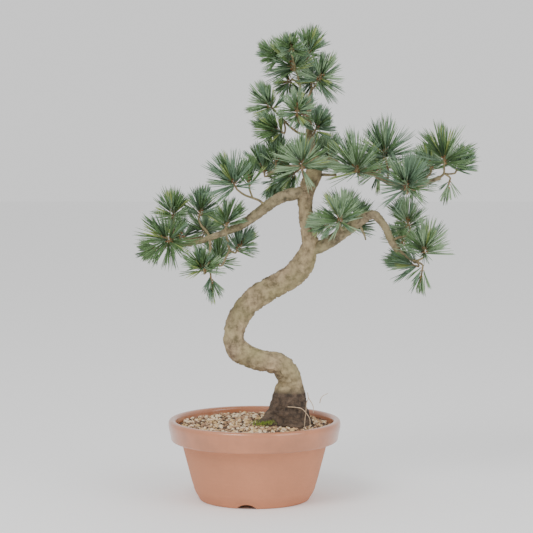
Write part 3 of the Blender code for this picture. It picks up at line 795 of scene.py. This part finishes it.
class BONSAI_OT_soil(bpy.types.Operator):
    """Fills the pot with soil and strews its granules"""

    bl_idname = "bonsai.soil"
    bl_label = "Soil"

    def execute(self, context):
        """Makes the soil in place of its plain solid."""
        ledge = BAND_BOTTOM - 8.0
        profile = (
            (0.0, FLOOR_TOP + GAP),
            (inner_wall(FLOOR_TOP) - 7.0, FLOOR_TOP + GAP),
            (inner_wall(ledge) - 0.6, ledge),
            (SOIL_RADIUS, POT_HEIGHT - 10.0),
            *((SOIL_RADIUS * (1 - k / SOIL_RINGS), SOIL_TOP) for k in range(SOIL_RINGS + 1)),
        )
        bm = bmesh.new()
        turned(bm, profile, SOIL_SEGMENTS)
        for vert in bm.verts:
            if vert.co.z > SOIL_TOP - 0.1:
                vert.co.z += lump(vert.co.x, vert.co.y) - 1.2
        earth = patchy("earth", 260.0, 3.0, (0.07, 0.045, 0.03), (0.26, 0.16, 0.09), 0.95, 0.8, 0.002)
        ground = add_piece("soil_ground", bm, earth)
        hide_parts("soil")
        self.strew(context.scene.bonsai_needles.granules)
        return {"FINISHED"}

    def strew(self, count):
        """Strews the granules, each kind of stone joined into one piece."""
        seeded = random.Random(5)
        shapes = [granule_shape(number) for number in range(GRANULE_SHAPES)]
        heaps = {name: Heap() for name in GRANULES}
        shares = [share for _, share, _ in GRANULES.values()]
        for _ in range(count):
            turn = seeded.uniform(0, math.tau)
            away = SOIL_RADIUS * math.sqrt(seeded.random()) - 2.0
            x = away * math.cos(turn)
            y = away * math.sin(turn)
            size = seeded.choice(GRANULE_SIZES)
            kind = seeded.choices(list(GRANULES), shares)[0]
            size *= GRANULES[kind][2]
            corners, faces = seeded.choice(shapes)
            angle = seeded.uniform(0, math.tau)
            axis = Vector([seeded.uniform(-1, 1) for _ in range(3)]) + Vector((0.0, 0.0, 0.01))
            spin = np.array(Matrix.Rotation(angle, 3, axis))
            long_side = seeded.uniform(0.8, 1.25)
            short_side = seeded.uniform(0.7, 1.0)
            stretch = np.array((long_side, short_side, seeded.uniform(0.55, 0.85)))
            if math.hypot(x - TRUNK[0][0], y - TRUNK[0][1]) < TRUNK_CLEARING:
                continue
            place = np.array((x, y, SOIL_TOP + lump(x, y) - 1.0 + seeded.uniform(0.0, 0.9)))
            heaps[kind].add((corners * stretch) @ spin.T * size + place, faces)
        for name, (colour, _, _) in GRANULES.items():
            finish = patchy(name, 420.0, 2.0, shade(colour, 0.72), shade(colour, 1.15), 0.92, 0.5, 0.0006)
            piece = heaps[name].piece("soil_" + name, finish, smooth=False)


def granule_shape(number):
    """The corners and faces of one lumpy granule of about unit size."""
    bm = bmesh.new()
    bmesh.ops.create_icosphere(bm, subdivisions=1, radius=1.0)
    for vert in bm.verts:
        vert.co *= 1.0 + GRANULE_LUMP * noise.noise(vert.co * 1.7 + Vector((number * 5.0, 0.0, 0.0)))
    corners = np.array([vert.co[:] for vert in bm.verts])
    faces = np.array([[vert.index for vert in face.verts] for face in bm.faces])
    bm.free()
    return corners, faces


class Heap:
    """Many small shapes in table millimetres, gathered into one mesh."""

    def __init__(self):
        self.corners, self.faces, self.count = [], [], 0

    def add(self, corners, faces):
        """Adds one shape's corners and its triangles."""
        self.corners.append(corners)
        self.faces.append(faces + self.count)
        self.count += len(corners)

    def piece(self, name, finish, smooth=True):
        """The whole heap as one piece of the plant."""
        corners = np.concatenate(self.corners) * MM + np.array(POT_AXIS)
        faces = np.concatenate(self.faces)
        mesh = bpy.data.meshes.new(name)
        mesh.from_pydata(corners.tolist(), [], faces.tolist())
        if smooth:
            mesh.shade_smooth()
        return link_piece(name, mesh, finish)


def smooth_run(stations, step):
    """Points and radii along a smooth curve through the stations, about a step apart."""
    known = [np.array(s, float) for s in stations]
    known = [2 * known[0] - known[1], *known, 2 * known[-1] - known[-2]]
    run = []
    for before, start, end, after in zip(known, known[1:], known[2:], known[3:]):
        pieces = max(1, round(float(np.linalg.norm((end - start)[:3])) / step))
        for k in range(pieces):
            t = k / pieces
            run.append(
                0.5
                * (
                    2 * start
                    + (end - before) * t
                    + (2 * before - 5 * start + 4 * end - after) * t**2
                    + (3 * start - before - 3 * end + after) * t**3
                )
            )
    run.append(known[-2])
    return [Vector(p[:3]) for p in run], [float(p[3]) / 2 for p in run]


def ring_frames(points):
    """A placement for a ring at each point, square to the run and without spin about it."""
    along = []
    for k in range(len(points)):
        ahead, behind = points[min(k + 1, len(points) - 1)], points[max(k - 1, 0)]
        along.append((ahead - behind).normalized())
    side = along[0].orthogonal().normalized()
    frames = []
    for point, way in zip(points, along):
        side = (side - way * side.dot(way)).normalized()
        turn = Matrix((side, way.cross(side), way)).transposed().to_4x4()
        frames.append(Matrix.Translation(point) @ turn)
    return frames


def tube(bm, points, radii, sides):
    """A ring drawn out from point to point, and closed at both ends."""
    frames = [place @ Matrix.Scale(radius, 4) for place, radius in zip(ring_frames(points), radii)]
    made = bmesh.ops.create_circle(bm, cap_ends=True, segments=sides, radius=1.0, matrix=frames[0])
    edges = list({edge for vert in made["verts"] for edge in vert.link_edges})
    for before, after in zip(frames, frames[1:]):
        drawn = bmesh.ops.extrude_edge_only(bm, edges=edges)["geom"]
        verts = [part for part in drawn if isinstance(part, bmesh.types.BMVert)]
        ring = set(verts)
        drawn_edges = [part for part in drawn if isinstance(part, bmesh.types.BMEdge)]
        edges = [edge for edge in drawn_edges if ring.issuperset(edge.verts)]
        bmesh.ops.transform(bm, matrix=after @ before.inverted(), verts=verts)
    bmesh.ops.contextual_create(bm, geom=edges)


def plates(place, size):
    """A pattern of plates: nearly 0 along the lines between them and about 1 on a plate."""
    warped = place + 0.5 * size * noise.noise_vector(place / size)
    apart, _ = noise.voronoi(warped / size)
    edge = min(1.0, max(0.0, (apart[1] - apart[0]) / LINE_WIDTH))
    return edge * edge * (3 - 2 * edge)


def roughen(bm, size, depth, grain):
    """Gives a limb its relief. Its faces look inwards, so the lines between plates stand out."""
    bm.normal_update()
    moves = []
    for vert in bm.verts:
        large = plates(vert.co, size)
        fine = noise.fractal(vert.co / GRAIN_SIZE, 0.8, 2.2, 4)
        broad = noise.noise(vert.co / SWELL_SIZE)
        moves.append(vert.normal * (depth * (large - 0.75) + grain * fine + depth * 0.8 * broad))
    for vert, move in zip(bm.verts, moves):
        vert.co += move


def flare(bm):
    """Draws the foot of the trunk out into its surface roots, down to a level cut."""
    foot = Vector(TRUNK[0][:3])
    for vert in bm.verts:
        height = vert.co.z - foot.z
        if height > 4 * FLARE_HEIGHT:
            continue
        away = Vector((vert.co.x - foot.x, vert.co.y - foot.y, 0.0))
        if away.length < 1e-6:
            continue
        turn = math.degrees(math.atan2(away.y, away.x)) % 360
        draw = 0.0
        for root_turn, spread, width in FLARE_ROOTS:
            off = abs((turn - root_turn + 180) % 360 - 180)
            draw += spread * math.exp(-((off / width) ** 2))
        vert.co += away.normalized() * draw * math.exp(-max(height, 0.0) / FLARE_HEIGHT)


def bark_finish(name, dark, pale, moss, damp_foot=False):
    """Bark in dark and pale patches, with a tint of moss in places."""
    made, nodes, links, shader = new_material(name)
    patch = mottle(nodes, 120.0, 3.2, dark, pale)
    tint = mottle(nodes, 30.0, 3.4, BLACK, WHITE)
    mix = nodes.new("ShaderNodeMix")
    mix.data_type = "RGBA"
    half = nodes.new("ShaderNodeMath")
    half.operation = "MULTIPLY"
    half.inputs[1].default_value = 0.55
    links.new(tint.outputs["Height"], half.inputs[0])
    links.new(half.outputs[0], mix.inputs[MIX_FACTOR])
    links.new(patch.outputs["Color"], mix.inputs[MIX_FIRST])
    mix.inputs[MIX_SECOND].default_value = (*moss, 1.0)
    colour = mix.outputs[MIX_RESULT]
    if damp_foot:
        colour = darker_below(nodes, links, colour)
    links.new(colour, shader.inputs["Base Color"])
    fine = mottle(nodes, 700.0, 2.6, BLACK, WHITE)
    relief(nodes, links, fine.outputs["Height"], shader, 0.7, 0.0009)
    shader.inputs["Roughness"].default_value = 0.9
    return made


def darker_below(nodes, links, colour):
    """Darkens a colour over the damp root base."""
    place = nodes.new("ShaderNodeTexCoord")
    parts = nodes.new("ShaderNodeSeparateXYZ")
    fade = nodes.new("ShaderNodeMapRange")
    fade.inputs["From Min"].default_value = DAMP_HEIGHTS[0]
    fade.inputs["From Max"].default_value = DAMP_HEIGHTS[1]
    mix = nodes.new("ShaderNodeMix")
    mix.data_type = "RGBA"
    damp = mottle(nodes, 160.0, 3.0, (0.030, 0.022, 0.016), (0.145, 0.098, 0.066))
    links.new(place.outputs["Object"], parts.inputs[0])
    links.new(parts.outputs["Z"], fade.inputs["Value"])
    links.new(fade.outputs[0], mix.inputs[MIX_FACTOR])
    links.new(damp.outputs["Color"], mix.inputs[MIX_FIRST])
    links.new(colour, mix.inputs[MIX_SECOND])
    return mix.outputs[MIX_RESULT]


class BONSAI_OT_wood(bpy.types.Operator):
    """Models the trunk and boughs with the relief of their bark"""

    bl_idname = "bonsai.wood"
    bl_label = "Trunk and boughs"

    def execute(self, context):
        """Makes each limb in place of its plain solid."""
        finish = bark_finish(
            "trunk_bark", (0.12, 0.085, 0.05), (0.52, 0.38, 0.24), (0.33, 0.30, 0.13), damp_foot=True
        )
        bm = bmesh.new()
        points, radii = smooth_run(TRUNK, RING_STEP)
        tube(bm, points, radii, TRUNK_SIDES)
        for vert in bm.verts:
            vert.co.z = max(vert.co.z, TRUNK[0][2] - 1.0)
        flare(bm)
        roughen(bm, **TRUNK_BARK)
        trunk = add_piece("trunk_finished", bm, finish)
        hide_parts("trunk")
        bough_bark = bark_finish("bough_bark", (0.10, 0.08, 0.05), (0.44, 0.34, 0.21), (0.30, 0.28, 0.13))
        for name, stations in BOUGHS.items():
            bm = bmesh.new()
            points, radii = smooth_run(stations, RING_STEP)
            thick = radii[0] > THICK_RADIUS
            tube(bm, points, radii, BOUGH_SIDES if thick else SLIM_SIDES)
            roughen(bm, **(BOUGH_BARK if thick else SLIM_BARK))
            bough = add_piece(name + "_finished", bm, bough_bark)
            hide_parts(name)
        return {"FINISHED"}


# The aerial roots' routes, and the moss: how many blades, and where its middle lies round the trunk.
AERIAL_ROOTS = (
    ((64, -24, 134), (65, -27, 128), (63, -29, 122), (62, -31, 112), (61, -33, 104), (60, -34, 92)),
    ((65, -27, 128), (69, -29, 122), (71, -30, 117), (71, -31, 110)),
    ((40, -27, 117), (50, -31, 117), (58, -33, 115), (66, -34, 105), (67, -35, 96), (66, -36, 92)),
    ((79, -22, 121), (80, -23, 126), (83, -23, 130), (89, -23, 133)),
)
ROOT_RADIUS = 0.55
MOSS_BLADES = 700
MOSS_TURN = 190
MOSS_TURN_SPREAD = 16
MOSS_AWAY = 31
MOSS_AWAY_SPREAD = 6
BLADE_LENGTH = 2.0
BLADE_WIDTH = 0.5


class BONSAI_OT_roots(bpy.types.Operator):
    """Adds the thin aerial roots and the moss on the surface roots"""

    bl_idname = "bonsai.roots"
    bl_label = "Roots and moss"

    def execute(self, context):
        """Makes the roots as one piece and the moss as another."""
        bm = bmesh.new()
        for stations in AERIAL_ROOTS:
            points, _ = smooth_run([(*station, 1.0) for station in stations], ROOT_RING_STEP)
            radii = [ROOT_RADIUS - 0.2 * k / len(points) for k in range(len(points))]
            tube(bm, points, radii, ROOT_SIDES)
        pale = patchy("aerial_root", 300.0, 2.0, (0.42, 0.30, 0.19), (0.66, 0.52, 0.36), 0.8, 0.3, 0.0003)
        roots = add_piece("aerial_roots", bm, pale)
        self.moss()
        return {"FINISHED"}

    def moss(self):
        """Tufts of moss: many small blades on the left surface root."""
        seeded = random.Random(8)
        heap = Heap()
        for _ in range(MOSS_BLADES):
            turn = math.radians(seeded.gauss(MOSS_TURN, MOSS_TURN_SPREAD))
            away = seeded.gauss(MOSS_AWAY, MOSS_AWAY_SPREAD)
            x = TRUNK[0][0] + away * math.cos(turn)
            y = TRUNK[0][1] + away * math.sin(turn)
            place = np.array((x, y, SOIL_TOP + 1.2 + max(0.0, (44 - away) * 0.28)))
            way = np.array((seeded.uniform(-1, 1), seeded.uniform(-1, 1), 1.4)) * BLADE_LENGTH
            side = np.array((seeded.uniform(-1, 1), seeded.uniform(-1, 1), 0.0)) * BLADE_WIDTH
            back = np.array((-side[1], side[0], 0.0))
            corners = np.array((place - side, place + side, place + back, place + way))
            heap.add(corners, np.array(((0, 1, 3), (1, 2, 3), (2, 0, 3), (0, 2, 1))))
        green = patchy("moss", 300.0, 2.0, (0.10, 0.17, 0.02), (0.30, 0.36, 0.05), 0.9, 0.2, 0.0003)
        heap.piece("root_moss", green, smooth=False)


def limb_run(name):
    """The coarse centre line and radii that shoots grow from."""
    stations = TRUNK if name == "trunk" else BOUGHS[name]
    return smooth_run(stations, LIMB_STEP)


def leave_limb(limb, place, base):
    """Where a stem starts inside its limb, which way it leaves, and how thick it may be there."""
    points, radii = limb_run(limb)
    nearest = min(range(len(points)), key=lambda k: (points[k] - Vector(place)).length)
    along = points[min(nearest + 1, len(points) - 1)] - points[max(nearest - 1, 0)]
    along.normalize()
    if nearest == len(points) - 1:
        return points[-1] - along, along, 0.9 * radii[-1]
    out = base - points[nearest]
    return points[nearest], (out - along * out.dot(along)).normalized(), 0.9 * radii[nearest]


def bend(start, start_way, end, end_way, pieces):
    """Points along a twig that leaves one way and arrives another."""
    pull = 0.36 * (end - start).length
    first, second = start + start_way * pull, end - end_way * pull
    run = []
    for k in range(pieces + 1):
        t = k / pieces
        run.append(
            start * (1 - t) ** 3
            + first * 3 * t * (1 - t) ** 2
            + second * 3 * t**2 * (1 - t)
            + end * t**3
        )
    return run


def plan_shoots(name):
    """The runs of a mass's twigs: its stem goes to the first shoot, and the others branch from it."""
    limb, place, shoots = FOLIAGE[name]
    seeded = random.Random(name)
    plans = []
    for number, (base, heading, reach, lean, share) in enumerate(shoots):
        base, heading = Vector(base), Vector(heading).normalized()
        if number == 0:
            origin, way, room = leave_limb(limb, place, base)
            radius = min(STEM_RADIUS, room)
        else:
            stem = plans[0]["points"]
            fork = nearest_fork(stem, base, seeded)
            origin, radius = stem[fork], SHOOT_RADIUS
            way = (base - origin).normalized()
        neck = base - heading * NECK_LENGTH
        pieces = max(2, round((neck - origin).length / TWIG_STEP))
        arrival = (heading + ARRIVAL_PULL * (neck - origin).normalized()).normalized()
        points = [*bend(origin, way, neck, arrival, pieces), base]
        radii = [radius + (SHOOT_RADIUS - radius) * k / pieces for k in range(pieces + 1)]
        plans.append(
            {
                "points": points,
                "radii": [*radii, SHOOT_RADIUS],
                "heading": heading,
                "reach": reach,
                "lean": math.radians(lean),
                "share": share,
                "owner": f"{name} {number}",
            }
        )
    return plans


def nearest_fork(stem, base, seeded):
    """The place on a stem where a side shoot leaves it, some way back from its own tip."""
    last = max(1, len(stem) - 2)
    reach = [(base - point).length + 6.0 * seeded.random() for point in stem[: last + 1]]
    return max(1, reach.index(min(reach)))


# The tones of needle: a piece's name, its colour and its share of the sheaths.
NEEDLE_TONES = (
    ("needles_blue", (0.17, 0.27, 0.17), 0.30),
    ("needles_green", (0.13, 0.23, 0.085), 0.28),
    ("needles_pale", (0.30, 0.43, 0.25), 0.20),
    ("needles_deep", (0.055, 0.11, 0.045), 0.13),
    ("needles_fresh", (0.34, 0.43, 0.13), 0.09),
)


def needle(place, way, length, width, seeded):
    """One needle's corners: three sides that narrow to a point, on a slight curve."""
    side = way.orthogonal().normalized()
    side.rotate(Matrix.Rotation(seeded.uniform(0, math.tau), 3, way))
    across = way.cross(side)
    bow = side * length * seeded.uniform(-0.05, 0.05)
    bow -= Vector((0.0, 0.0, length * seeded.uniform(0.0, 0.04)))
    corners = []
    for share, swell in zip(NEEDLE_RINGS, NEEDLE_SWELL):
        middle = place + way * length * share + bow * share**2
        for k in range(3):
            turn = k * math.tau / 3
            out = side * math.cos(turn) + across * math.sin(turn)
            corners.append(middle + out * width * 0.5 * swell)
    corners.append(place + way * length + bow)
    return np.array([c[:] for c in corners])


def needle_faces():
    """The triangles of one needle."""
    faces = [(0, 2, 1)]
    for ring in range(len(NEEDLE_RINGS) - 1):
        for k in range(3):
            a = ring * 3 + k
            b = ring * 3 + (k + 1) % 3
            faces += [(a, b, b + 3), (a, b + 3, a + 3)]
    last = 3 * (len(NEEDLE_RINGS) - 1)
    tip = last + 3
    faces += [(last + k, last + (k + 1) % 3, tip) for k in range(3)]
    return np.array(faces)


class BONSAI_OT_foliage(bpy.types.Operator):
    """Grows the twigs, buds and needles on from the limbs"""

    bl_idname = "bonsai.foliage"
    bl_label = "Twigs and needles"

    def execute(self, context):
        """Makes the twigs as one piece and each tone of needle as one piece."""
        settings = context.scene.bonsai_needles
        self.width = settings.width / MM
        self.faces = needle_faces()
        self.heaps = {name: Heap() for name, _, _ in NEEDLE_TONES}
        self.buds = Heap()
        self.twigs = bmesh.new()
        for name in FOLIAGE:
            for plan in plan_shoots(name):
                self.grow(plan, settings.sheaths)
        bark = bark_finish("twig_bark", (0.12, 0.09, 0.05), (0.40, 0.30, 0.17), (0.28, 0.26, 0.12))
        twigs = add_piece("twigs", self.twigs, bark)
        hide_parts(*MASSES)
        brown = patchy("bud_scales", 500.0, 2.0, (0.22, 0.10, 0.04), (0.50, 0.27, 0.12), 0.75, 0.4, 0.0003)
        self.buds.piece("buds", brown)
        for name, colour, _ in NEEDLE_TONES:
            finish = needle_finish(name, colour)
            piece = self.heaps[name].piece(name, finish)
            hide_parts(*MASSES)
        return {"FINISHED"}

    def grow(self, plan, sheaths):
        """One shoot: its twig, the sheaths of needles round the twig's end, and the bud."""
        seeded = random.Random(plan["owner"] + " fine")
        base, heading = plan["points"][-1], plan["heading"]
        tip = base + heading * CORE_LENGTH * 1.1
        points = [*plan["points"], base + heading * CORE_LENGTH * 0.55, tip]
        radii = [*(SLIMMER * radius for radius in plan["radii"]), 1.0, 0.7]
        run, fine = smooth_run([(*p, 2 * r) for p, r in zip(points, radii)], TWIG_RING_STEP)
        tube(self.twigs, run, fine, TWIG_SIDES)
        tones = [tone[0] for tone in NEEDLE_TONES]
        shares = [tone[2] for tone in NEEDLE_TONES]
        main_tone = seeded.choices(tones[:3], shares[:3])[0]
        side = heading.orthogonal().normalized()
        for number in range(round(sheaths * plan["share"])):
            along = CORE_LENGTH * (1.15 * seeded.random() ** 0.8 - 0.1)
            turn = number * GOLDEN_TURN + seeded.uniform(-0.3, 0.3)
            out = side.copy()
            out.rotate(Matrix.Rotation(turn, 3, heading))
            share = min(1.0, max(0.0, along / CORE_LENGTH))
            lean = TIP_LEAN + (plan["lean"] - TIP_LEAN) * (1.0 - share) ** 0.8
            lean += math.radians(seeded.uniform(-LEAN_JITTER, LEAN_JITTER))
            way = (heading * math.cos(lean) + out * math.sin(lean)).normalized()
            place = base + heading * along + out * seeded.uniform(0.8, 3.2)
            spread = NEEDLE_LENGTH_SPREAD * seeded.uniform(-1.6, 1)
            length = (plan["reach"] - 0.6 * CORE_LENGTH) * (1.0 + spread)
            tone = main_tone if seeded.random() < 0.45 else seeded.choices(tones, shares)[0]
            self.sheath(place, way, length, tone, seeded)
        self.bud(tip, heading, BUD_RADIUS, BUD_LENGTH)

    def sheath(self, place, way, length, tone, seeded):
        """Five needles from one small brown sheath."""
        self.bud(place, way, SHEATH_RADIUS, SHEATH_LENGTH)
        for _ in range(NEEDLES_A_SHEATH):
            spread = Vector([seeded.gauss(0, SHEATH_SPREAD) for _ in range(3)])
            own = (way + spread).normalized()
            own_length = length * seeded.uniform(0.86, 1.03)
            corners = needle(place + own, own, own_length, self.width, seeded)
            self.heaps[tone].add(corners, self.faces)

    def bud(self, place, way, radius, length):
        """A small spindle of brown scales."""
        side = way.orthogonal().normalized()
        across = way.cross(side)
        turns = [k * math.tau / 5 for k in range(5)]
        widest = place + way * length * 0.4
        ring = [widest + (side * math.cos(turn) + across * math.sin(turn)) * radius for turn in turns]
        corners = [place - way * 0.5, *ring, place + way * length]
        faces = [(0, 1 + (k + 1) % 5, 1 + k) for k in range(5)]
        faces += [(1 + k, 1 + (k + 1) % 5, 6) for k in range(5)]
        self.buds.add(np.array([c[:] for c in corners]), np.array(faces))


def needle_finish(name, colour):
    """Satin needles of one colour, a little lighter and darker from place to place."""
    made, nodes, links, shader = new_material(name)
    patch = mottle(nodes, 60.0, 1.6, shade(colour, 0.82), shade(colour, 1.2))
    links.new(patch.outputs["Color"], shader.inputs["Base Color"])
    shader.inputs["Roughness"].default_value = 0.5
    return made


class BONSAI_OT_stage(bpy.types.Operator):
    """Sets the pale floor, the soft lights and the camera"""

    bl_idname = "bonsai.stage"
    bl_label = "Stage"

    def execute(self, context):
        """Makes the floor, the world, the lights and the camera."""
        bm = bmesh.new()
        bmesh.ops.create_grid(bm, x_segments=1, y_segments=1, size=FLOOR_SIZE)
        mesh = bpy.data.meshes.new("floor")
        bm.to_mesh(mesh)
        bm.free()
        floor = bpy.data.objects.new("floor", mesh)
        made, _, _, shader = new_material("floor")
        shader.inputs["Base Color"].default_value = (0.93, 0.93, 0.93, 1.0)
        shader.inputs["Roughness"].default_value = 0.9
        mesh.materials.append(made)
        context.scene.collection.objects.link(floor)
        world = bpy.data.worlds.new("studio")
        context.scene.world = world
        world.use_nodes = True
        sky = world.node_tree.nodes["Background"]
        sky.inputs["Color"].default_value = (1.0, 1.0, 1.0, 1.0)
        sky.inputs["Strength"].default_value = 1.0
        for name, away, power, size in LAMPS:
            lamp = bpy.data.lights.new(name, "AREA")
            lamp.energy = power
            lamp.size = size
            holder = bpy.data.objects.new(name, lamp)
            holder.location = POT_AXIS + LIT_POINT + away
            holder.rotation_euler = (-away).to_track_quat("-Z", "Y").to_euler()
            context.scene.collection.objects.link(holder)
        self.camera(context)
        return {"FINISHED"}

    def camera(self, context):
        """The camera, a little above the pot and looking slightly down."""
        lens = bpy.data.cameras.new("camera")
        lens.lens = CAMERA_LENS
        lens.sensor_width = CAMERA_SENSOR
        eye = bpy.data.objects.new("camera", lens)
        eye.location = POT_AXIS + CAMERA_PLACE
        eye.rotation_euler = (math.pi / 2 - math.atan2(CAMERA_DROP, -CAMERA_PLACE.y), 0.0, 0.0)
        context.scene.collection.objects.link(eye)
        context.scene.camera = eye


STEPS = (
    BONSAI_OT_stage,
    BONSAI_OT_pot,
    BONSAI_OT_soil,
    BONSAI_OT_wood,
    BONSAI_OT_roots,
    BONSAI_OT_foliage,
)


class BONSAI_PT_panel(bpy.types.Panel):
    """Lists the settings and the steps"""

    bl_label = "Bonsai"
    bl_idname = "BONSAI_PT_panel"
    bl_space_type = "VIEW_3D"
    bl_region_type = "UI"
    bl_category = "Bonsai"

    def draw(self, context):
        """Draws the settings and a button for each step."""
        for settings in (context.scene.bonsai_clay, context.scene.bonsai_needles):
            for name in settings.bl_rna.properties.keys():
                if name not in ("rna_type", "name"):
                    self.layout.prop(settings, name)
        for step in STEPS:
            self.layout.operator(step.bl_idname)


CLASSES = (ClaySettings, NeedleSettings, *STEPS, BONSAI_PT_panel)


def register():
    """Registers the classes and the settings."""
    for thing in CLASSES:
        bpy.utils.register_class(thing)
    bpy.types.Scene.bonsai_clay = bpy.props.PointerProperty(type=ClaySettings)
    bpy.types.Scene.bonsai_needles = bpy.props.PointerProperty(type=NeedleSettings)


def unregister():
    """Removes the settings and the classes."""
    del bpy.types.Scene.bonsai_needles
    del bpy.types.Scene.bonsai_clay
    for thing in reversed(CLASSES):
        bpy.utils.unregister_class(thing)


def main():
    """Builds every piece."""
    register()
    bpy.ops.bonsai.stage()
    bpy.ops.bonsai.pot()
    bpy.ops.bonsai.soil()
    bpy.ops.bonsai.wood()
    bpy.ops.bonsai.roots()
    bpy.ops.bonsai.foliage()
    bpy.context.view_layer.update()


if __name__ == "__main__":
    main()
